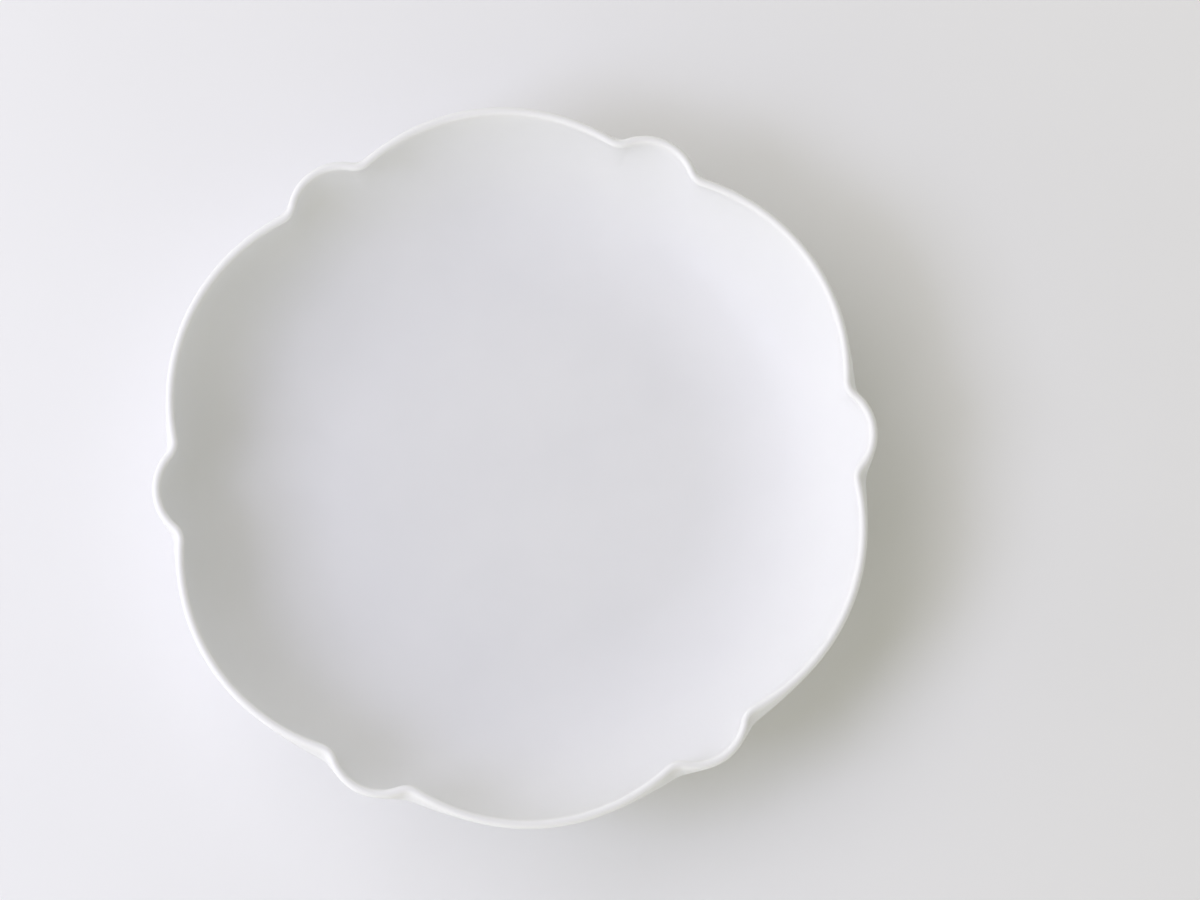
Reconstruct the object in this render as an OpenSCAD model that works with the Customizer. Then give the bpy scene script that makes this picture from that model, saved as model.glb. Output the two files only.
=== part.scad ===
// Shallow salad bowl in white glazed stoneware.
// Large lobes run round the rim with a small lobe between each two.
// The lobes die away below the rim, and the bowl stands on a foot ring luted into its underside.
// Origin at the middle of the standing face, +Z up, millimetres.
// The first small lobe points along +X.

/* [Rim] */
// Diameter of the rim over the large lobes
rim_d = 250; // [226:1:300]
// Number of large lobes, and of small lobes between them
lobe_count = 6; // [5:1:8]
// Radius of a large lobe's edge
lobe_r = 72; // [60:0.5:90]
// Radius of a small lobe's edge
bump_r = 19; // [14:0.5:24]
// How far the small lobes stay inside the circle of the large ones
bump_set = 0.6; // [0:0.1:3]
// Radius of the hollow between a small lobe and a large one
notch_r = 5; // [3:0.5:9]
// Thickness of the rounded lip, with its glaze
lip_t = 3; // [2.4:0.1:5]
// Depth below the rim at which the lobes have died away
lobe_fade = 24; // [12:1:40]

/* [Bowl] */
// Height from the table to the top of the rim
bowl_h = 50; // [40:1:62]
// Diameter of the flat floor
floor_d = 124; // [96:1:144]
// Thickness of the floor, with its glaze
floor_t = 5; // [4:0.1:8]
// Steepness of the wall where its wide lower curve passes into the tighter upper one
bend_slope = 18; // [10:1:26]
// How much steeper the wall stands at the lip than if it were one even curve
lip_kick = 16; // [0:1:20]

/* [Foot ring] */
// Height of the floor's underside above the table
foot_h = 6; // [4.5:0.1:12]
// Width of the ring where it meets the floor
foot_w = 7; // [5:0.1:12]
// How far the ring lies inside the edge of the flat floor
foot_inset = 4; // [2:0.5:20]
// How much each side of the ring draws in towards the table
foot_taper = 0.8; // [0.2:0.1:1.5]
// Bevel of the standing edges
foot_bevel = 0.8; // [0.3:0.1:1.5]
// Depth of the groove that the ring is luted into
seat_depth = 1.2; // [0.5:0.1:2]
// Clearance between the ring and each side of the groove
seat_gap = 0.1; // [0.05:0.05:0.3]

/* [Glaze] */
// Thickness of the glaze
glaze_t = 0.4; // [0.2:0.05:0.8]
// Width of the bare band between the foot ring and the glaze
glaze_line = 1.2; // [0.6:0.1:1.8]

/* [Hidden] */
$fn = 96;

clay_color = [0.87, 0.84, 0.79];
glaze_color = [0.93, 0.93, 0.95];

// Steps along each arc of half a sector of the rim, and up the wall
bump_steps = 3;
notch_steps = 2;
lobe_steps = 5;
low_steps = 3;
high_steps = 5;

// Sizes that follow from the ones above
rim_r = rim_d / 2;
sector = 360 / lobe_count;
half_sector = sector / 2;
floor_r = floor_d / 2;
floor_z = foot_h + floor_t;
clay_base_z = foot_h + glaze_t;
foot_outer_r = floor_r - foot_inset;
foot_inner_r = foot_outer_r - foot_w;
coat_start_r = foot_outer_r + glaze_line;
well_r = foot_inner_r - glaze_line;

// The wall is two arcs in section with a common tangent, level at the floor's edge and steepest at the lip.
// Their radii are those that lead the middle of a wall of the lip's thickness to the middle of the lip.
wall_rise = bowl_h - floor_z;
wall_run = rim_r - lip_t / 2 - floor_r;
lip_slope = 2 * atan(wall_rise / wall_run) + lip_kick;
low_way = [sin(bend_slope), 1 - cos(bend_slope)];
high_way = [sin(lip_slope) - sin(bend_slope), cos(bend_slope) - cos(lip_slope)];
ways_cross = low_way.x * high_way.y - low_way.y * high_way.x;
low_r = (wall_run * high_way.y - wall_rise * high_way.x) / ways_cross - lip_t / 2;
high_r = (wall_rise * low_way.x - wall_run * low_way.y) / ways_cross - lip_t / 2;
low_center = [floor_r, floor_z + low_r];
high_center = low_center + (low_r - high_r) * [sin(bend_slope), -cos(bend_slope)];
lip_center = [rim_r - lip_t / 2, bowl_h - lip_t / 2];
lip_angles = [0, 30, 60, 90, 90 + lip_slope / 2];
fade_z = bowl_h - lobe_fade;

function polar(r, angle) = r * [cos(angle), sin(angle)];
function unit(v) = v / norm(v);
function heading(v) = atan2(v.y, v.x);
function turned(v, angle) = [v.x * cos(angle) - v.y * sin(angle), v.x * sin(angle) + v.y * cos(angle)];
function reversed(list) = [for (i = [len(list) - 1 : -1 : 0]) list[i]];

// Centres of the rim's three arcs: each hollow touches its small lobe and its large lobe from outside
lobe_center = polar(rim_r - lobe_r, half_sector);
bump_center = [rim_r - bump_set - bump_r, 0];
center_gap = norm(lobe_center - bump_center);
along = (lobe_center - bump_center) / center_gap;
reach = (pow(bump_r + notch_r, 2) - pow(lobe_r + notch_r, 2) + pow(center_gap, 2)) / (2 * center_gap);
offside = sqrt(pow(bump_r + notch_r, 2) - pow(reach, 2));
notch_center = bump_center + reach * along + offside * [along.y, -along.x];
bump_end = heading(notch_center - bump_center);
lobe_start = heading(notch_center - lobe_center);

// Stations along an arc without its last point, each a point and the normal that points out of the bowl.
// side is 1 on a lobe, whose centre lies inside the bowl, and -1 in a hollow.
function arc_stations(center, r, from, to, steps, side) =
    [for (i = [0 : steps - 1])
        let (angle = from + (to - from) * i / steps)
        [center + polar(r, angle), polar(side, angle)]];

half_stations = concat(
    arc_stations(bump_center, bump_r, 0, bump_end, bump_steps, 1),
    arc_stations(notch_center, notch_r, bump_end + 180, lobe_start + 180, notch_steps, -1),
    arc_stations(lobe_center, lobe_r, lobe_start, half_sector, lobe_steps, 1));
lobe_tip = [polar(rim_r, half_sector), polar(1, half_sector)];

// The other half of the sector mirrors the first about the large lobe's middle, and the sectors repeat
function mirrored(v) = turned([v.x, -v.y], sector);
mirrored_stations = [for (s = half_stations) [mirrored(s[0]), mirrored(s[1])]];
sector_stations = concat(
    half_stations,
    [lobe_tip],
    [for (i = [len(half_stations) - 1 : -1 : 1]) mirrored_stations[i]]);
stations =
    [for (k = [0 : lobe_count - 1], s = sector_stations)
        [turned(s[0], k * sector), turned(s[1], k * sector)]];
ring_count = len(stations);

// One ring of points at a radius and height of the section: round below, and fully lobed round the lip
function lobe_share(z) = pow(max(0, min(1, (z - fade_z) / (lip_center.y - fade_z))), 2);
function ring_point(s, r, z, share) =
    let (flat = (1 - share) * r * unit(s[0]) + share * (s[0] - (rim_r - r) * s[1]))
    [flat.x, flat.y, z];
function ring(p) = [for (s = stations) ring_point(s, p[0], p[1], lobe_share(p[1]))];

// The section at a depth under the finished surface, from the underside's edge over the lip to the floor
wall_slopes = concat(
    [for (i = [0 : low_steps - 1]) bend_slope * i / low_steps],
    [for (i = [0 : high_steps]) bend_slope + (lip_slope - bend_slope) * i / high_steps]);
function wall_t(slope) = floor_t + (lip_t - floor_t) * slope / lip_slope;
function wall_point(slope, depth) =
    slope < bend_slope
        ? low_center + (low_r + depth) * [sin(slope), -cos(slope)]
        : high_center + (high_r + depth) * [sin(slope), -cos(slope)];
function section(depth) = concat(
    [for (s = wall_slopes) wall_point(s, wall_t(s) - depth)],
    [for (angle = lip_angles) lip_center + polar(lip_t / 2 - depth, angle)],
    [for (s = reversed(wall_slopes)) wall_point(s, depth)]);

// Two faces for each four points between a ring and the next, split along the shorter diagonal
function split(points, a, b, c, d) =
    norm(points[a] - points[c]) <= norm(points[b] - points[d])
        ? [[a, b, c], [a, c, d]]
        : [[a, b, d], [b, c, d]];
function band_faces(points, rows) =
    [for (row = [0 : rows - 2], k = [0 : ring_count - 1])
        let (next = (k + 1) % ring_count, low = row * ring_count, high = low + ring_count)
        each split(points, low + k, high + k, high + next, low + next)];
function ring_face(row) = [for (k = [0 : ring_count - 1]) row * ring_count + k];

// Solid lofted through rings, closed flat at both ends
module loft(path) {
    points = [for (p = path) each ring(p)];
    first_face = ring_face(0);
    last_face = reversed(ring_face(len(path) - 1));
    polyhedron(points, concat([first_face], band_faces(points, len(path)), [last_face]), convexity = 8);
}

// Groove under the floor that the foot ring stands in
module seat() {
    rotate_extrude()
        translate([foot_inner_r - seat_gap, foot_h])
            square([foot_w + 2 * seat_gap, glaze_t + seat_depth]);
}

// Clay body with its lobed wall and the groove for the foot
module bowl_body() {
    color(clay_color) difference() {
        loft(section(glaze_t));
        seat();
    }
}

// Turned clay ring that the bowl stands on, drawn in towards the table and bevelled at the standing edges
module foot_ring() {
    seat_z = clay_base_z + seat_depth;
    color(clay_color) rotate_extrude() polygon([
        [foot_inner_r + foot_taper + foot_bevel, 0],
        [foot_outer_r - foot_taper - foot_bevel, 0],
        [foot_outer_r - foot_taper, foot_bevel],
        [foot_outer_r, clay_base_z],
        [foot_outer_r, seat_z],
        [foot_inner_r, seat_z],
        [foot_inner_r, clay_base_z],
        [foot_inner_r + foot_taper, foot_bevel]]);
}

// Glaze from the line beside the foot, up the outside, over the lip and across the floor
module glaze_coat() {
    outside = concat([[coat_start_r, foot_h]], section(0));
    inside = concat([[coat_start_r, clay_base_z]], section(glaze_t));
    color(glaze_color) loft(concat(reversed(inside), outside));
}

// Glaze under the floor, inside the foot ring
module well_glaze() {
    color(glaze_color) translate([0, 0, foot_h]) cylinder(r = well_r, h = glaze_t);
}

bowl_body();
foot_ring();
glaze_coat();
well_glaze();
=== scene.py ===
"""Dresses the salad bowl: smooth lobed meshes of clay and glaze, their finishes and a plain studio."""

import cmath
import logging
import math
from dataclasses import dataclass
from enum import Enum
from typing import ClassVar

import bpy
import numpy as np
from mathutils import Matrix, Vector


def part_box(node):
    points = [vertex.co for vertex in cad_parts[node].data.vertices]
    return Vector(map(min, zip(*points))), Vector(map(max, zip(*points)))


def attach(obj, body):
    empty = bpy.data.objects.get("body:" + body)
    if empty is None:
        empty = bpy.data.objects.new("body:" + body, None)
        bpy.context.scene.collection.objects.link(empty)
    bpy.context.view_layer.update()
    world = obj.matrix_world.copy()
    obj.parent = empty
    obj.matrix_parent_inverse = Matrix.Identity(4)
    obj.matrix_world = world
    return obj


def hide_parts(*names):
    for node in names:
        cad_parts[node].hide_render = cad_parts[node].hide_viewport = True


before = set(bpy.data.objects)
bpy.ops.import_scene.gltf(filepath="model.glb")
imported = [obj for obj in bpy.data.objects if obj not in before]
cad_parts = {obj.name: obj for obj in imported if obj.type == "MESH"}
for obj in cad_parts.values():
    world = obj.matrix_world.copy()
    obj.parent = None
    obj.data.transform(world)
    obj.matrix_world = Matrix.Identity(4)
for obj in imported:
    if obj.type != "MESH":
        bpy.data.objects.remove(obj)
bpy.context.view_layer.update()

MM = 0.001
BODY = "root"

# Noise stays mostly between these two values
NOISE_LOW = 0.3
NOISE_HIGH = 0.7
# Distance between two rings of a Wave texture whose scale is 1
WAVE_PITCH = 0.314

log = logging.getLogger("salad_bowl")

Point = tuple[float, float]
Path = list[Point]
Color = tuple[float, float, float]
Socket = bpy.types.NodeSocket


class Slot(Enum):
    """Which of the two finishes a piece gets."""

    GLAZE = "glaze"
    BISCUIT = "biscuit"


class Plan(Enum):
    """How a turned piece looks from above."""

    ROUND = "round"
    LOBED = "lobed"


def arc(center: Point, radius: float, start: float, end: float, steps: int) -> Path:
    """Points along an arc, both ends included.

    Args:
        center: Middle of the arc.
        radius: Radius of the arc.
        start: Angle of the first point, in radians.
        end: Angle of the last point, in radians.
        steps: Number of chords.

    Returns:
        The arc's points in order.
    """
    angles = np.linspace(start, end, steps + 1)
    return [(center[0] + radius * math.cos(a), center[1] + radius * math.sin(a)) for a in angles]


def rounded(before: Point, corner: Point, after: Point, radius: float, steps: int) -> Path:
    """Points of the arc that rounds off a corner.

    Args:
        before: Point before the corner.
        corner: The sharp corner.
        after: Point after the corner.
        radius: Radius of the arc.
        steps: Number of chords.

    Returns:
        The arc's points in order, from the side before the corner to the side after it.
    """
    tip = complex(*corner)
    sides = [complex(*point) - tip for point in (before, after)]
    first, second = (side / abs(side) for side in sides)
    half = abs(cmath.phase(second / first)) / 2
    middle = tip + radius / math.sin(half) * (first + second) / abs(first + second)
    start = tip + radius / math.tan(half) * first - middle
    end = tip + radius / math.tan(half) * second - middle
    turn = cmath.phase(end / start)
    spots = [middle + start * cmath.exp(1j * turn * i / steps) for i in range(steps + 1)]
    return [(spot.real, spot.imag) for spot in spots]


@dataclass(frozen=True)
class RimOutline:
    """Plan of the rim: large lobes with a small lobe between each two, joined by hollows."""

    radius: float
    lobe_count: int = 6
    lobe_radius: float = 72 * MM
    bump_radius: float = 19 * MM
    bump_set: float = 0.6 * MM
    notch_radius: float = 5 * MM
    bump_steps: int = 12
    notch_steps: int = 10
    lobe_steps: int = 18

    @property
    def columns(self) -> int:
        """Number of stations round the whole rim."""
        return 2 * self.lobe_count * (self.bump_steps + self.notch_steps + self.lobe_steps)

    def half_sector(self) -> tuple[np.ndarray, np.ndarray]:
        """Stations from the middle of a small lobe to just before the middle of the next large one.

        Returns:
            The points, and the normals that point out of the bowl, as complex numbers.
        """
        half = math.pi / self.lobe_count
        lobe_center = (self.radius - self.lobe_radius) * np.exp(1j * half)
        bump_center = complex(self.radius - self.bump_set - self.bump_radius)
        gap = abs(lobe_center - bump_center)
        along = (lobe_center - bump_center) / gap
        bump_reach = self.bump_radius + self.notch_radius
        lobe_reach = self.lobe_radius + self.notch_radius
        reach = (bump_reach**2 - lobe_reach**2 + gap**2) / (2 * gap)
        offside = math.sqrt(bump_reach**2 - reach**2)
        notch_center = bump_center + (reach - 1j * offside) * along
        bump_end = np.angle(notch_center - bump_center)
        lobe_start = np.angle(notch_center - lobe_center)
        bump = np.exp(1j * np.linspace(0, bump_end, self.bump_steps, endpoint=False))
        notch = np.exp(1j * np.linspace(bump_end, lobe_start, self.notch_steps, endpoint=False))
        lobe = np.exp(1j * np.linspace(lobe_start, half, self.lobe_steps, endpoint=False))
        points = [
            bump_center + self.bump_radius * bump,
            notch_center - self.notch_radius * notch,
            lobe_center + self.lobe_radius * lobe,
        ]
        return np.concatenate(points), np.concatenate([bump, notch, lobe])

    def stations(self) -> tuple[np.ndarray, np.ndarray]:
        """Stations round the whole rim, from the middle of the small lobe on +X.

        Returns:
            The points, and the normals that point out of the bowl, as complex numbers.
        """
        sector = 2 * math.pi / self.lobe_count
        points, normals = self.half_sector()
        tip = np.exp(1j * sector / 2)
        mirror = np.exp(1j * sector)
        points = np.concatenate([points, [self.radius * tip], mirror * np.conj(points[:0:-1])])
        normals = np.concatenate([normals, [tip], mirror * np.conj(normals[:0:-1])])
        turns = np.exp(1j * sector * np.arange(self.lobe_count))
        return np.outer(turns, points).ravel(), np.outer(turns, normals).ravel()


@dataclass(frozen=True)
class BowlSection:
    """Half section of the bowl: a level floor, a wall of two arcs and a rounded lip."""

    rim_radius: float
    height: float
    base: float
    glaze: float
    floor_radius: float = 62 * MM
    floor_thickness: float = 5 * MM
    lip_thickness: float = 3 * MM
    bend_slope: float = math.radians(18)
    lip_kick: float = math.radians(16)
    lobe_fade: float = 24 * MM

    @property
    def floor_z(self) -> float:
        """Height of the floor's upper face."""
        return self.base + self.floor_thickness

    @property
    def lip_center(self) -> Point:
        """Middle of the rounded lip."""
        return self.rim_radius - self.lip_thickness / 2, self.height - self.lip_thickness / 2

    @property
    def wall_span(self) -> Point:
        """How far the wall runs outwards and how far it rises, from the floor's edge to the lip."""
        return self.lip_center[0] - self.floor_radius, self.height - self.floor_z

    @property
    def lip_slope(self) -> float:
        """Steepness of the wall where it meets the lip, in radians."""
        run, rise = self.wall_span
        return 2 * math.atan(rise / run) + self.lip_kick

    @property
    def wall_radii(self) -> tuple[float, float]:
        """Finds how tightly the wall bends, so that its middle leads to the middle of the lip.

        Returns:
            The radii of the wide lower arc and of the tighter upper arc, at the wall's inner face.
        """
        slopes = [0, self.bend_slope, self.lip_slope]
        ways = [np.diff(np.sin(slopes)), -np.diff(np.cos(slopes))]
        low, high = np.linalg.solve(ways, self.wall_span) - self.lip_thickness / 2
        return low, high

    def slopes(self, steps: int) -> np.ndarray:
        """Spaces points up the wall, with a third of the steps on the lower arc.

        Args:
            steps: Number of chords.

        Returns:
            The wall's steepness at each point, in radians.
        """
        low_steps = steps // 3
        low = np.linspace(0, self.bend_slope, low_steps, endpoint=False)
        return np.concatenate([low, np.linspace(self.bend_slope, self.lip_slope, steps - low_steps + 1)])

    def wall_point(self, slope: float, depth: float) -> Point:
        """Finds a point of the wall.

        Args:
            slope: Steepness of the wall there, in radians.
            depth: Depth behind the wall's inner face.

        Returns:
            The point's radius and height.
        """
        low, high = self.wall_radii
        radius = low
        center = complex(self.floor_radius, self.floor_z + low)
        if slope > self.bend_slope:
            radius = high
            center += cmath.rect(low - high, self.bend_slope - math.pi / 2)
        spot = center + cmath.rect(radius + depth, slope - math.pi / 2)
        return spot.real, spot.imag

    def inner_wall(self, depth: float, steps: int) -> Path:
        """Inner face of the wall from the floor up to the lip, at a depth under the finished surface."""
        return [self.wall_point(slope, depth) for slope in self.slopes(steps)]

    def outer_wall(self, depth: float, steps: int) -> Path:
        """Outer face of the wall, from the lip down to the underside.

        Args:
            depth: Depth under the finished surface.
            steps: Number of chords.

        Returns:
            The face's points in order.
        """
        thinning = (self.lip_thickness - self.floor_thickness) / self.lip_slope
        return [
            self.wall_point(slope, self.floor_thickness + thinning * slope - depth)
            for slope in reversed(self.slopes(steps))
        ]

    def lip(self, depth: float, steps: int) -> Path:
        """The lip between the two faces of the wall, from the inside to the outside.

        Args:
            depth: Depth under the finished surface.
            steps: Number of chords.

        Returns:
            The lip's points in order, without the ends that the faces have already.
        """
        start = self.lip_slope + math.pi / 2
        end = self.lip_slope - math.pi / 2
        return arc(self.lip_center, self.lip_thickness / 2 - depth, start, end, steps)[1:-1]

    def over_the_lip(self, depth: float, wall_steps: int, lip_steps: int) -> Path:
        """From the edge of the floor up the inside, over the lip and down to the underside.

        Args:
            depth: Depth under the finished surface.
            wall_steps: Chords along each face of the wall.
            lip_steps: Chords round the lip.

        Returns:
            The path's points in order.
        """
        inner = self.inner_wall(depth, wall_steps)
        return inner + self.lip(depth, lip_steps) + self.outer_wall(depth, wall_steps)

    def lobe_share(self, z: np.ndarray) -> np.ndarray:
        """How lobed the bowl is at each height: not at all low down, and fully round the lip."""
        fade_z = self.height - self.lobe_fade
        return np.clip((z - fade_z) / (self.lip_center[1] - fade_z), 0, 1) ** 2


@dataclass(frozen=True)
class FootProfile:
    """Half section of the foot ring and of the groove that it is luted into."""

    base: float
    glaze: float
    seat_z: float
    outer_radius: float = 58 * MM
    width: float = 7 * MM
    taper: float = 0.8 * MM
    bevel: float = 0.8 * MM
    seat_gap: float = 0.1 * MM
    glaze_line: float = 1.2 * MM
    slip_fillet: float = 0.5 * MM
    edge_round: float = 0.9 * MM
    fillet_steps: int = 5
    edge_steps: int = 4

    @property
    def inner_radius(self) -> float:
        """Inner radius of the ring where it meets the floor."""
        return self.outer_radius - self.width

    @property
    def clay_z(self) -> float:
        """Height of the bare clay under the floor."""
        return self.base + self.glaze

    def groove(self) -> Path:
        """Section of the groove that the ring stands in.

        Returns:
            The groove's corners, from its outer edge to its inner one.
        """
        outer = self.outer_radius + self.seat_gap
        inner = self.inner_radius - self.seat_gap
        return [(outer, self.clay_z), (outer, self.seat_z), (inner, self.seat_z), (inner, self.clay_z)]

    def fillet(self, side: int) -> Path:
        """Hollow of wiped slip in the corner between the ring and the floor.

        Args:
            side: 1 outside the ring, -1 inside it.

        Returns:
            The hollow's points, from the ring to the floor.
        """
        face = self.outer_radius if side > 0 else self.inner_radius
        center = (face + side * self.slip_fillet, self.clay_z - self.slip_fillet)
        start = math.pi if side > 0 else 0
        return arc(center, self.slip_fillet, start, math.pi / 2, self.fillet_steps)

    def standing_edge(self) -> Path:
        """Section of the ring's lower end, with its corners rubbed round.

        Returns:
            The section's points, from the inner side to the outer one.
        """
        inner = self.inner_radius + self.taper
        outer = self.outer_radius - self.taper
        corners = [
            (self.inner_radius, self.clay_z),
            (inner, self.bevel),
            (inner + self.bevel, 0.0),
            (outer - self.bevel, 0.0),
            (outer, self.bevel),
            (self.outer_radius, self.clay_z),
        ]
        triples = zip(corners, corners[1:], corners[2:])
        return [point for t in triples for point in rounded(*t, self.edge_round, self.edge_steps)]


@dataclass(frozen=True)
class NodeBuilder:
    """Adds shader nodes to one material, or to the world, and joins them."""

    owner: bpy.types.Material | bpy.types.World

    @classmethod
    def for_material(cls, name: str) -> "NodeBuilder":
        """Starts a new material with a plain Principled shader.

        Args:
            name: Name of the material.

        Returns:
            A builder for the material.
        """
        material = bpy.data.materials.new(name)
        material.use_nodes = True
        return cls(material)

    @classmethod
    def for_world(cls, name: str) -> "NodeBuilder":
        """Starts a new world with a plain Background shader.

        Args:
            name: Name of the world.

        Returns:
            A builder for the world.
        """
        world = bpy.data.worlds.new(name)
        world.use_nodes = True
        return cls(world)

    @property
    def tree(self) -> bpy.types.NodeTree:
        """The owner's nodes and links."""
        return self.owner.node_tree

    @property
    def shader(self) -> bpy.types.ShaderNode:
        """The owner's own shader."""
        is_material = isinstance(self.owner, bpy.types.Material)
        return self.tree.nodes["Principled BSDF" if is_material else "Background"]

    def add(self, kind: str, inputs: dict | None = None, **settings: object) -> bpy.types.ShaderNode:
        """Adds a node.

        Args:
            kind: Blender's name for the node's type, without its prefix.
            inputs: Values for input sockets, or output sockets to join to them.
            settings: The node's own properties.

        Returns:
            The new node.
        """
        node = self.tree.nodes.new("ShaderNode" + kind)
        for name, value in settings.items():
            setattr(node, name, value)
        for name, value in (inputs or {}).items():
            self.feed(node, name, value)
        return node

    def feed(self, node: bpy.types.ShaderNode, name: str | int, value: object) -> None:
        """Sets an input socket to a value, or joins an output socket to it.

        Args:
            node: Node that is fed.
            name: Name or number of its input socket.
            value: The value, or the output socket.
        """
        if isinstance(value, Socket):
            self.tree.links.new(value, node.inputs[name])
        else:
            node.inputs[name].default_value = value

    def place(self) -> Socket:
        """The piece's own coordinates, in metres."""
        return self.add("TexCoord").outputs["Object"]

    def noise(self, grain: float, detail: float, roughness: float = 0.5) -> Socket:
        """Noise of a grain size in metres."""
        inputs = {"Vector": self.place(), "Scale": 1 / grain, "Detail": detail, "Roughness": roughness}
        return self.add("TexNoise", inputs).outputs["Fac"]

    def spread(self, factor: Socket, low: float, high: float) -> Socket:
        """Takes the usual range of a noise to a range of values.

        Args:
            factor: The noise.
            low: Value where the noise is low.
            high: Value where the noise is high.

        Returns:
            The value.
        """
        inputs = {
            "Value": factor,
            "From Min": NOISE_LOW,
            "From Max": NOISE_HIGH,
            "To Min": low,
            "To Max": high,
        }
        return self.add("MapRange", inputs).outputs["Result"]

    def rise(self, low: float, high: float) -> Socket:
        """A factor that follows the height on the piece.

        Args:
            low: Height at which the factor is 0.
            high: Height at which the factor is 1.

        Returns:
            The factor.
        """
        height = self.add("SeparateXYZ", {"Vector": self.place()}).outputs["Z"]
        inputs = {"Value": height, "From Min": low, "From Max": high}
        return self.add("MapRange", inputs, interpolation_type="SMOOTHSTEP").outputs["Result"]

    def tint(self, factor: Socket, first: Color | Socket, second: Color | Socket) -> Socket:
        """Mixes two colours.

        Args:
            factor: Share of the second colour.
            first: A colour, or the output socket that gives one.
            second: A colour, or the output socket that gives one.

        Returns:
            The mixed colour.
        """
        mix = self.add("Mix", data_type="RGBA")
        color_sockets = [s for s in mix.inputs if s.type == "RGBA"]
        self.tree.links.new(factor, mix.inputs["Factor"])
        for socket, value in zip(color_sockets, (first, second)):
            if isinstance(value, Socket):
                self.tree.links.new(value, socket)
            else:
                socket.default_value = (*value, 1)
        return next(s for s in mix.outputs if s.type == "RGBA")

    def bump(self, height: Socket, depth: float) -> Socket:
        """A normal bent by a height pattern of a depth in metres."""
        return self.add("Bump", {"Height": height, "Distance": depth, "Strength": 1}).outputs["Normal"]


@dataclass(frozen=True)
class SatinGlaze:
    """White satin glaze: faint clouding, a fine orange-peel surface, a softer sheen in patches and a
    painted highlight along the lip.
    """

    name: str = "satin_glaze"
    thick: Color = (0.757, 0.760, 0.776)
    thin: Color = (0.779, 0.781, 0.794)
    # Lighter, cooler white for the top of the lip: a painted highlight along the lip
    lip: Color = (0.797, 0.797, 0.803)
    cloud: float = 35 * MM
    patch: float = 9 * MM
    peel: float = 1.6 * MM
    peel_depth: float = 0.02 * MM
    roughness: tuple[float, float] = (0.44, 0.54)
    ior: float = 1.52

    def material(self, highlight_from: float, highlight_to: float) -> bpy.types.Material:
        """Builds the glaze.

        Args:
            highlight_from: Height at which the painted highlight along the lip begins.
            highlight_to: Height at which the painted highlight is lightest.

        Returns:
            The material.
        """
        nodes = NodeBuilder.for_material(self.name)
        body = nodes.tint(nodes.spread(nodes.noise(self.cloud, detail=3), 0, 1), self.thick, self.thin)
        # The colour lightens towards the lip as a painted highlight
        nodes.feed(nodes.shader, "Base Color", nodes.tint(nodes.rise(highlight_from, highlight_to), body, self.lip))
        sheen = nodes.spread(nodes.noise(self.patch, detail=4), *self.roughness)
        nodes.feed(nodes.shader, "Roughness", sheen)
        peel = nodes.bump(nodes.noise(self.peel, detail=2), self.peel_depth)
        nodes.feed(nodes.shader, "Normal", peel)
        nodes.feed(nodes.shader, "IOR", self.ior)
        return nodes.owner


@dataclass(frozen=True)
class BareClay:
    """Bare fired clay: a warm white with fine grain, sparse darker grog and the marks of turning."""

    name: str = "bare_clay"
    pale: Color = (0.74, 0.70, 0.63)
    deep: Color = (0.62, 0.57, 0.49)
    grog: Color = (0.36, 0.31, 0.25)
    rubbed: Color = (0.52, 0.49, 0.45)
    grain: float = 0.5 * MM
    grog_spacing: float = 1.8 * MM
    grog_size: float = 0.16
    mark_spacing: float = 0.9 * MM
    mark_depth: float = 0.05 * MM
    mark_waver: float = 1.2
    roughness: tuple[float, float] = (0.82, 0.94)

    def material(self, standing_to: float) -> bpy.types.Material:
        """Builds the clay.

        Args:
            standing_to: Height up to which the foot is rubbed by what it stands on.

        Returns:
            The material.
        """
        nodes = NodeBuilder.for_material(self.name)
        grain = nodes.noise(self.grain, detail=5, roughness=0.65)
        color = nodes.tint(nodes.spread(grain, 0, 1), self.deep, self.pale)
        cells = nodes.add("TexVoronoi", {"Vector": nodes.place(), "Scale": 1 / self.grog_spacing})
        speck_range = {"Value": cells.outputs["Distance"], "From Min": self.grog_size, "From Max": 0}
        specks = nodes.add("MapRange", speck_range).outputs["Result"]
        color = nodes.tint(specks, color, self.grog)
        color = nodes.tint(nodes.rise(0, standing_to), self.rubbed, color)
        nodes.feed(nodes.shader, "Base Color", color)
        nodes.feed(nodes.shader, "Roughness", nodes.spread(grain, *self.roughness))
        wave_inputs = {
            "Vector": nodes.place(),
            "Scale": WAVE_PITCH / self.mark_spacing,
            "Distortion": self.mark_waver,
        }
        marks = nodes.add("TexWave", wave_inputs, wave_type="RINGS", rings_direction="Z")
        surface = nodes.add("Math", {0: marks.outputs["Fac"], 1: grain}, operation="ADD").outputs[0]
        nodes.feed(nodes.shader, "Normal", nodes.bump(surface, self.mark_depth))
        return nodes.owner


@dataclass(frozen=True)
class PaleTable:
    """Pale painted board that the bowl stands on."""

    name: str = "pale_table"
    light: Color = (0.84, 0.84, 0.85)
    dark: Color = (0.825, 0.825, 0.835)
    cloud: float = 120 * MM
    roughness: float = 0.7

    def material(self) -> bpy.types.Material:
        """Builds the paint.

        Returns:
            The material.
        """
        nodes = NodeBuilder.for_material(self.name)
        color = nodes.tint(nodes.spread(nodes.noise(self.cloud, detail=2), 0, 1), self.dark, self.light)
        nodes.feed(nodes.shader, "Base Color", color)
        nodes.feed(nodes.shader, "Roughness", self.roughness)
        return nodes.owner


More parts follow.
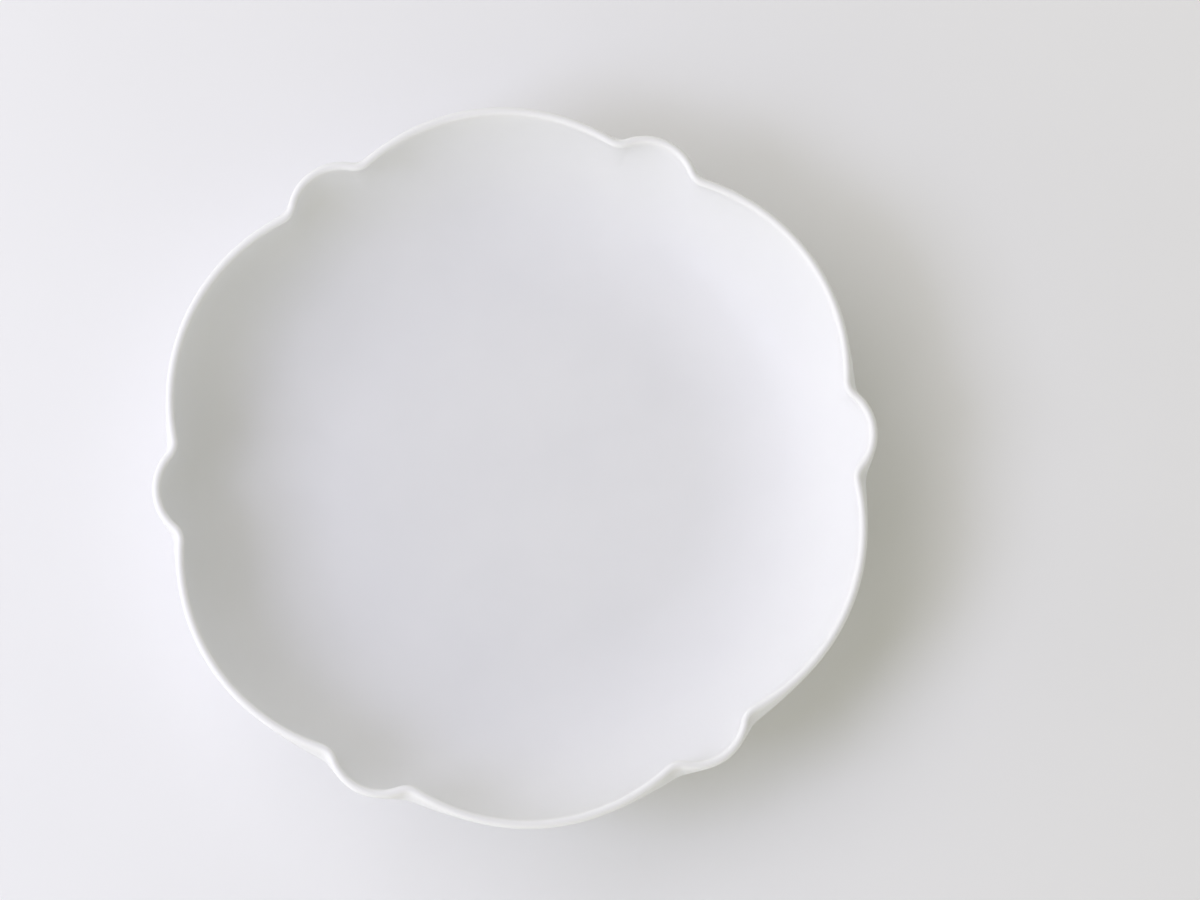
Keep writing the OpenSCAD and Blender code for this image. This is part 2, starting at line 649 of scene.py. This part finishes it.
@dataclass
class TurnedPiece:
    """A piece turned from a half section, and lobed afterwards where its plan is."""

    section: BowlSection
    rim: RimOutline
    foot: FootProfile
    finish: bpy.types.Material
    piece: bpy.types.Object | None = None

    name: ClassVar[str]
    node: ClassVar[str]
    slot: ClassVar[Slot]
    plan: ClassVar[Plan] = Plan.ROUND
    smooth_angle: ClassVar[float] = math.radians(35)
    merge_distance: ClassVar[float] = 0.001 * MM

    def profile(self) -> Path:
        """Half section of the piece, from end to end."""
        raise NotImplementedError

    def draw(self) -> None:
        """Draws the half section as a line of edges, one extrusion at a time."""
        points = self.profile()
        bpy.ops.object.select_all(action="DESELECT")
        bpy.ops.mesh.primitive_plane_add(size=MM, location=(0, 0, 0))
        self.piece = bpy.context.object
        self.piece.name = self.name
        self.piece.data.name = self.name
        bpy.ops.object.mode_set(mode="EDIT")
        bpy.ops.mesh.select_all(action="SELECT")
        bpy.ops.mesh.merge(type="CENTER")
        bpy.ops.transform.translate(value=(points[0][0], 0, points[0][1]))
        for (r, z), (next_r, next_z) in zip(points, points[1:]):
            step = (next_r - r, 0, next_z - z)
            bpy.ops.mesh.extrude_vertices_move(TRANSFORM_OT_translate={"value": step})

    def turn(self) -> None:
        """Spins the half section about the bowl's axis and closes the seam and the poles."""
        bpy.ops.mesh.select_all(action="SELECT")
        bpy.ops.mesh.spin(steps=self.rim.columns, angle=2 * math.pi, center=(0, 0, 0), axis=(0, 0, 1))
        bpy.ops.mesh.select_all(action="SELECT")
        bpy.ops.mesh.remove_doubles(threshold=self.merge_distance)
        bpy.ops.mesh.normals_make_consistent(inside=False)
        bpy.ops.object.mode_set(mode="OBJECT")

    def press_lobes(self) -> None:
        """Presses the turned wall out to the rim's lobes, each column of points to its own station."""
        mesh = self.piece.data
        places = np.empty(len(mesh.vertices) * 3)
        mesh.vertices.foreach_get("co", places)
        places = places.reshape(-1, 3)
        flat = places[:, 0] + 1j * places[:, 1]
        radius = np.abs(flat)
        column = np.rint(np.angle(flat) * self.rim.columns / (2 * math.pi)).astype(int) % self.rim.columns
        points, normals = (values[column] for values in self.rim.stations())
        share = self.section.lobe_share(places[:, 2])
        turned = radius * points / np.abs(points)
        lobed = points - (self.rim.radius - radius) * normals
        flat = (1 - share) * turned + share * lobed
        places[:, 0] = flat.real
        places[:, 1] = flat.imag
        mesh.vertices.foreach_set("co", places.ravel())
        mesh.update()

    def build(self) -> None:
        """Makes the mesh."""
        self.draw()
        self.turn()
        if self.plan is Plan.LOBED:
            self.press_lobes()
        bpy.ops.object.shade_smooth_by_angle(angle=self.smooth_angle)

    def dress(self) -> None:
        """Gives the piece its finish and its place in the frame."""
        self.piece.data.materials.clear()
        self.piece.data.materials.append(self.finish)
        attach(self.piece, BODY)
        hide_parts(self.node)
        log.info("%s: %d faces", self.name, len(self.piece.data.polygons))


@dataclass
class ClayBowl(TurnedPiece):
    """The clay under the glaze, with the groove for the foot."""

    name: ClassVar[str] = "clay_bowl"
    node: ClassVar[str] = "bowl_body"
    slot: ClassVar[Slot] = Slot.BISCUIT
    plan: ClassVar[Plan] = Plan.LOBED
    wall_steps: ClassVar[int] = 24
    lip_steps: ClassVar[int] = 8

    def profile(self) -> Path:
        """From the middle of the floor over the lip to the middle of the underside."""
        depth = self.section.glaze
        return [
            (0.0, self.section.floor_z - depth),
            *self.section.over_the_lip(depth, self.wall_steps, self.lip_steps),
            *self.foot.groove(),
            (0.0, self.foot.clay_z),
        ]


@dataclass
class GlazeSkin(TurnedPiece):
    """The glaze from the line beside the foot, up the outside, over the lip and across the floor."""

    name: ClassVar[str] = "glaze_skin"
    node: ClassVar[str] = "glaze_coat"
    slot: ClassVar[Slot] = Slot.GLAZE
    plan: ClassVar[Plan] = Plan.LOBED
    wall_steps: ClassVar[int] = 40
    lip_steps: ClassVar[int] = 16
    clay_wall_steps: ClassVar[int] = 12
    clay_lip_steps: ClassVar[int] = 6
    bead_steps: ClassVar[int] = 6
    floor_rings: ClassVar[int] = 8

    def profile(self) -> Path:
        """Half section of the glaze.

        Returns:
            From the middle of the floor over the lip to the glaze line, and back along the clay.
        """
        section = self.section
        thickness = section.glaze
        floor = np.linspace(0, section.floor_radius, self.floor_rings, endpoint=False)
        bead_r = self.foot.outer_radius + self.foot.glaze_line + thickness / 2
        bead_center = (bead_r, section.base + thickness / 2)
        bead = arc(bead_center, thickness / 2, 1.5 * math.pi, 0.5 * math.pi, self.bead_steps)
        clay_side = section.over_the_lip(thickness, self.clay_wall_steps, self.clay_lip_steps)
        return [
            *[(float(r), section.floor_z) for r in floor],
            *section.over_the_lip(0, self.wall_steps, self.lip_steps),
            *bead,
            *reversed(clay_side),
            (0.0, section.floor_z - thickness),
        ]


@dataclass
class FootRing(TurnedPiece):
    """The bare clay ring that the bowl stands on, wiped into the floor with slip."""

    name: ClassVar[str] = "foot_ring_clay"
    node: ClassVar[str] = "foot_ring"
    slot: ClassVar[Slot] = Slot.BISCUIT

    def profile(self) -> Path:
        """Half section of the ring.

        Returns:
            Once round it, from its seat down the inside and back up the outside.
        """
        foot = self.foot
        inner_seat = (foot.inner_radius, foot.seat_z)
        return [
            inner_seat,
            (foot.inner_radius, foot.clay_z),
            *reversed(foot.fillet(-1)),
            *foot.standing_edge(),
            *foot.fillet(1),
            (foot.outer_radius, foot.clay_z),
            (foot.outer_radius, foot.seat_z),
            inner_seat,
        ]


@dataclass
class WellGlaze(TurnedPiece):
    """The disc of glaze under the floor, inside the foot ring."""

    name: ClassVar[str] = "well_glaze_disc"
    node: ClassVar[str] = "well_glaze"
    slot: ClassVar[Slot] = Slot.GLAZE
    edge_steps: ClassVar[int] = 6

    def profile(self) -> Path:
        """Half section of the disc.

        Returns:
            From the middle of the visible face round the beaded edge to the middle against the clay.
        """
        foot = self.foot
        edge_r = foot.inner_radius - foot.glaze_line - foot.glaze / 2
        center = (edge_r, foot.base + foot.glaze / 2)
        edge = arc(center, foot.glaze / 2, -math.pi / 2, math.pi / 2, self.edge_steps)
        return [(0.0, foot.base), *edge, (0.0, foot.clay_z)]


@dataclass(frozen=True)
class Viewpoint:
    """The camera: almost straight above, turned a little, with the bowl left of the middle."""

    target_z: float
    lens: float = 85.0
    sensor: float = 36.0
    distance: float = 968.5 * MM
    right: float = -28.9 * MM
    up: float = -3.7 * MM
    tilt: float = math.radians(9.2)
    roll: float = math.radians(5.1)

    def build(self) -> None:
        """Makes the camera and sets it as the scene's own."""
        bpy.ops.object.select_all(action="DESELECT")
        bpy.ops.object.camera_add(location=(0, 0, 0), rotation=(self.tilt, 0, -self.roll))
        camera = bpy.context.object
        bpy.context.view_layer.update()
        turn = camera.matrix_world.to_3x3()
        back = turn.col[2] * self.distance - turn.col[0] * self.right - turn.col[1] * self.up
        camera.location = (back.x, back.y, back.z + self.target_z)
        camera.name = "camera_above"
        camera.data.lens = self.lens
        camera.data.sensor_width = self.sensor
        bpy.context.scene.camera = camera
        log.info("camera at %s", [round(v, 4) for v in camera.location])


@dataclass(frozen=True)
class SoftPanel:
    """A large soft light aimed at the bowl."""

    name: str
    azimuth: float
    elevation: float
    distance: float
    width: float
    height: float
    power: float
    color: Color

    def build(self) -> None:
        """Makes the light."""
        across = math.cos(self.elevation) * self.distance
        place = (
            across * math.cos(self.azimuth),
            across * math.sin(self.azimuth),
            self.distance * math.sin(self.elevation),
        )
        bpy.ops.object.select_all(action="DESELECT")
        turn = (0, math.pi / 2 - self.elevation, self.azimuth)
        bpy.ops.object.light_add(type="AREA", location=place, rotation=turn)
        lamp = bpy.context.object
        lamp.name = self.name
        lamp.data.shape = "RECTANGLE"
        lamp.data.size = self.height
        lamp.data.size_y = self.width
        lamp.data.energy = self.power
        lamp.data.color = self.color
        lamp.visible_camera = False


WINDOW_LIGHT = SoftPanel(
    name="window_light",
    azimuth=math.radians(150),
    elevation=math.radians(60),
    distance=1.4,
    width=1.8,
    height=0.8,
    power=7.9,
    color=(0.88, 0.855, 1.0),
)
KEY_LIGHT = SoftPanel(
    name="key_light",
    azimuth=math.radians(195),
    elevation=math.radians(47),
    distance=1.4,
    width=0.6,
    height=0.5,
    power=5.4,
    color=(0.70, 0.73, 1.0),
)


@dataclass(frozen=True)
class RoomLight:
    """Soft light from all round, brighter on one side than on the other and weak from overhead."""

    name: str = "room_light"
    azimuth: float = math.radians(196)
    bright: Color = (2.14, 2.11, 1.90)
    dim: Color = (0.91, 0.925, 0.86)
    overhead: Color = (0.11, 0.10, 0.05)

    def build(self) -> None:
        """Makes the world that gives the light."""
        nodes = NodeBuilder.for_world(self.name)
        direction = nodes.add("TexCoord").outputs["Generated"]
        bright_side = (math.cos(self.azimuth), math.sin(self.azimuth), 0)
        towards = nodes.add("VectorMath", {0: direction, 1: bright_side}, operation="DOT_PRODUCT")
        share_range = {"Value": towards.outputs["Value"], "From Min": -1, "From Max": 1}
        share = nodes.add("MapRange", share_range).outputs["Result"]
        height = nodes.add("SeparateXYZ", {"Vector": direction}).outputs["Z"]
        around = nodes.tint(share, self.dim, self.bright)
        nodes.feed(nodes.shader, "Color", nodes.tint(height, around, self.overhead))
        bpy.context.scene.world = nodes.owner


@dataclass(frozen=True)
class Studio:
    """A pale table, soft lights on the left and the light of the room."""

    table: PaleTable = PaleTable()
    lights: tuple[SoftPanel, ...] = (WINDOW_LIGHT, KEY_LIGHT)
    room: RoomLight = RoomLight()
    table_size: float = 8.0

    def build(self) -> None:
        """Makes the table and the lights."""
        bpy.ops.object.select_all(action="DESELECT")
        bpy.ops.mesh.primitive_plane_add(size=self.table_size, location=(0, 0, 0))
        table = bpy.context.object
        table.name = "table_top"
        table.data.materials.append(self.table.material())
        for light in self.lights:
            light.build()
        self.room.build()


def main() -> None:
    """Builds the bowl piece by piece, sets up the studio and logs what it made."""
    logging.basicConfig(level=logging.INFO, format="%(name)s: %(message)s")
    log.info("%d solids in the frame", len(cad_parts))
    coat_low, coat_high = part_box("glaze_coat")
    well_low, well_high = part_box("well_glaze")
    glaze = well_high.z - well_low.z
    rim = RimOutline(radius=coat_high.y)
    section = BowlSection(rim_radius=coat_high.y, height=coat_high.z, base=coat_low.z, glaze=glaze)
    foot = FootProfile(base=coat_low.z, glaze=glaze, seat_z=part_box("foot_ring")[1].z)
    satin = SatinGlaze().material(section.lip_center[1] - section.lip_thickness, section.height)
    clay = BareClay().material(foot.bevel)
    finishes = {Slot.GLAZE: satin, Slot.BISCUIT: clay}
    for maker in (ClayBowl, GlazeSkin, FootRing, WellGlaze):
        piece = maker(section, rim, foot, finishes[maker.slot])
        piece.build()
        piece.dress()
    Viewpoint(target_z=section.lip_center[1]).build()
    Studio().build()
    bpy.context.scene.view_settings.view_transform = "Standard"


if __name__ == "__main__":
    main()
